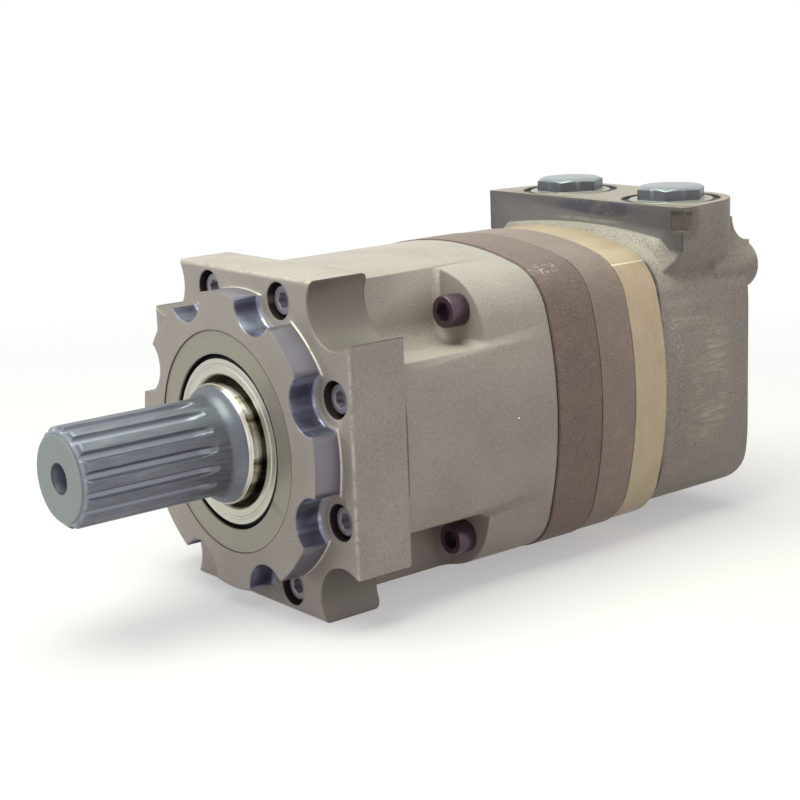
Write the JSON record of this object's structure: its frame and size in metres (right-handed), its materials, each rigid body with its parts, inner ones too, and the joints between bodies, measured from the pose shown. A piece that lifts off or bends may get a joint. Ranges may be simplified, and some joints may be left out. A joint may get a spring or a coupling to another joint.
{
  "type": "orbital hydraulic motor",
  "caption": "Orbital hydraulic motor with a square pilot flange, a splined shaft, stacked bulged sections, corner tie bolts and hexagon-plugged top ports.",
  "frame": {"origin": "on the output shaft's axis, in the plane of the mounting face", "axes": "+Y along the shaft axis towards the rear, so the shaft points along -Y; +Z towards the ports; +X to the right when seen from the shaft end"},
  "size_m": [0.185, 0.4524, 0.2048],
  "materials": {
    "flange_casting": "thin light grey film over a fine cast and turned surface",
    "housing_casting": "thin light grey film over a fine cast surface",
    "wear_plate_iron": "dark brown oxide skin, matt, with milled scratches at one corner",
    "ring_iron": "taupe oxide skin, matt",
    "valve_plate_iron": "pale gold chromate on a machined surface",
    "valve_casting": "dark grey brown rough casting with scraped streaks",
    "screw_steel": "oiled grey steel",
    "black_bolt": "black oxide steel",
    "plug_steel": "gunmetal zinc plated steel",
    "copper": "bright copper washer",
    "seal_case": "plain pressed steel",
    "seal_rubber": "black nitrile rubber, matt",
    "backup_metal": "bronze backup ring, satin",
    "shaft_steel": "blue grey hobbed steel with a mirror ground journal",
    "ground_steel": "ground and lapped steel",
    "drive_steel": "phosphated hardened steel",
    "balance_metal": "bronze, turned",
    "spring_steel": "bright spring wire",
    "cage_steel": "pressed steel",
    "bearing_steel": "ground bearing steel, bright"
  },
  "bodies": {
    "root": {"mounting_flange": "flange_casting", "flange_screws": "screw_steel", "flange_seal": "seal_rubber", "dust_seal": "seal_case", "shaft_seal": "seal_rubber", "backup_ring": "backup_metal", "bearing_housing": "housing_casting", "front_bearing_cup": "bearing_steel", "rear_bearing_cup": "bearing_steel", "housing_seal": "seal_rubber", "wear_plate": "wear_plate_iron", "ring_front_seal": "seal_rubber", "roller_ring": "ring_iron", "ring_rear_seal": "seal_rubber", "valve_plate": "valve_plate_iron", "valve_plate_seal": "seal_rubber", "valve_housing": "valve_casting", "tie_bolts": "black_bolt", "alignment_pins": "ground_steel", "balance_ring": "balance_metal", "balance_seals": "seal_rubber", "balance_springs": "spring_steel", "port_plug_left": "plug_steel", "port_plug_right": "plug_steel", "port_seal_left": "seal_rubber", "port_seal_right": "seal_rubber", "drain_plug": "plug_steel", "drain_seal": "copper"},
    "shaft": {"output_shaft": "shaft_steel", "front_bearing_cone": "bearing_steel", "rear_bearing_cone": "bearing_steel", "bearing_spacer": "drive_steel", "bearing_nut": "screw_steel"},
    "front_race": {"front_cage": "cage_steel", "front_tapers": "bearing_steel"},
    "rear_race": {"rear_cage": "cage_steel", "rear_tapers": "bearing_steel"},
    "orbit": {"drive_spacer": "drive_steel"},
    "star": {"star": "ground_steel"},
    "main_drive": {"main_drive": "drive_steel"},
    "valve_drive": {"valve_drive": "drive_steel"},
    "valve": {"rotary_valve": "ground_steel"},
    "roller_1": {"roller_1": "bearing_steel"},
    "roller_2": {"roller_2": "bearing_steel"},
    "roller_3": {"roller_3": "bearing_steel"},
    "roller_4": {"roller_4": "bearing_steel"},
    "roller_5": {"roller_5": "bearing_steel"},
    "roller_6": {"roller_6": "bearing_steel"},
    "roller_7": {"roller_7": "bearing_steel"}
  },
  "joints": [
    {"name": "shaft_spin", "type": "hinge", "parent": "root", "child": "shaft", "pos_m": [0, 0, 0], "axis": [0, 1, 0], "continuous": true},
    {"name": "front_race_spin", "type": "hinge", "parent": "root", "child": "front_race", "pos_m": [0, 0.0547, 0], "axis": [0, 1, 0], "continuous": true},
    {"name": "rear_race_spin", "type": "hinge", "parent": "root", "child": "rear_race", "pos_m": [0, 0.1215, 0], "axis": [0, 1, 0], "continuous": true},
    {"name": "orbit_spin", "type": "hinge", "parent": "root", "child": "orbit", "pos_m": [0, 0.1995, 0], "axis": [0, 1, 0], "continuous": true},
    {"name": "star_spin", "type": "hinge", "parent": "orbit", "child": "star", "pos_m": [0, 0.195, -0.0038], "axis": [0, 1, 0], "continuous": true},
    {"name": "main_drive_spin", "type": "hinge", "parent": "orbit", "child": "main_drive", "pos_m": [0, 0.108, 0], "axis": [0, 0.9989, -0.0464], "continuous": true},
    {"name": "valve_drive_spin", "type": "hinge", "parent": "orbit", "child": "valve_drive", "pos_m": [0, 0.2465, 0], "axis": [0, 0.9958, 0.0921], "continuous": true},
    {"name": "valve_spin", "type": "hinge", "parent": "root", "child": "valve", "pos_m": [0, 0.2475, 0], "axis": [0, 1, 0], "continuous": true},
    {"name": "roller_1_spin", "type": "hinge", "parent": "root", "child": "roller_1", "pos_m": [0, 0.195, 0.058], "axis": [0, 1, 0], "continuous": true},
    {"name": "roller_2_spin", "type": "hinge", "parent": "root", "child": "roller_2", "pos_m": [-0.04535, 0.195, 0.03616], "axis": [0, 1, 0], "continuous": true},
    {"name": "roller_3_spin", "type": "hinge", "parent": "root", "child": "roller_3", "pos_m": [-0.05655, 0.195, -0.01291], "axis": [0, 1, 0], "continuous": true},
    {"name": "roller_4_spin", "type": "hinge", "parent": "root", "child": "roller_4", "pos_m": [-0.02517, 0.195, -0.05226], "axis": [0, 1, 0], "continuous": true},
    {"name": "roller_5_spin", "type": "hinge", "parent": "root", "child": "roller_5", "pos_m": [0.02517, 0.195, -0.05226], "axis": [0, 1, 0], "continuous": true},
    {"name": "roller_6_spin", "type": "hinge", "parent": "root", "child": "roller_6", "pos_m": [0.05655, 0.195, -0.01291], "axis": [0, 1, 0], "continuous": true},
    {"name": "roller_7_spin", "type": "hinge", "parent": "root", "child": "roller_7", "pos_m": [0.04535, 0.195, 0.03616], "axis": [0, 1, 0], "continuous": true}
  ],
  "couplings": [
    {"joint": "front_race_spin", "follows": "shaft_spin", "ratio": 0.4501},
    {"joint": "rear_race_spin", "follows": "shaft_spin", "ratio": 0.4501},
    {"joint": "orbit_spin", "follows": "shaft_spin", "ratio": -6},
    {"joint": "star_spin", "follows": "shaft_spin", "ratio": 7},
    {"joint": "main_drive_spin", "follows": "shaft_spin", "ratio": 7},
    {"joint": "valve_drive_spin", "follows": "shaft_spin", "ratio": 7},
    {"joint": "valve_spin", "follows": "shaft_spin", "ratio": 1},
    {"joint": "roller_1_spin", "follows": "shaft_spin", "ratio": -4.804},
    {"joint": "roller_2_spin", "follows": "shaft_spin", "ratio": -4.804},
    {"joint": "roller_3_spin", "follows": "shaft_spin", "ratio": -4.804},
    {"joint": "roller_4_spin", "follows": "shaft_spin", "ratio": -4.804},
    {"joint": "roller_5_spin", "follows": "shaft_spin", "ratio": -4.804},
    {"joint": "roller_6_spin", "follows": "shaft_spin", "ratio": -4.804},
    {"joint": "roller_7_spin", "follows": "shaft_spin", "ratio": -4.804}
  ]
}
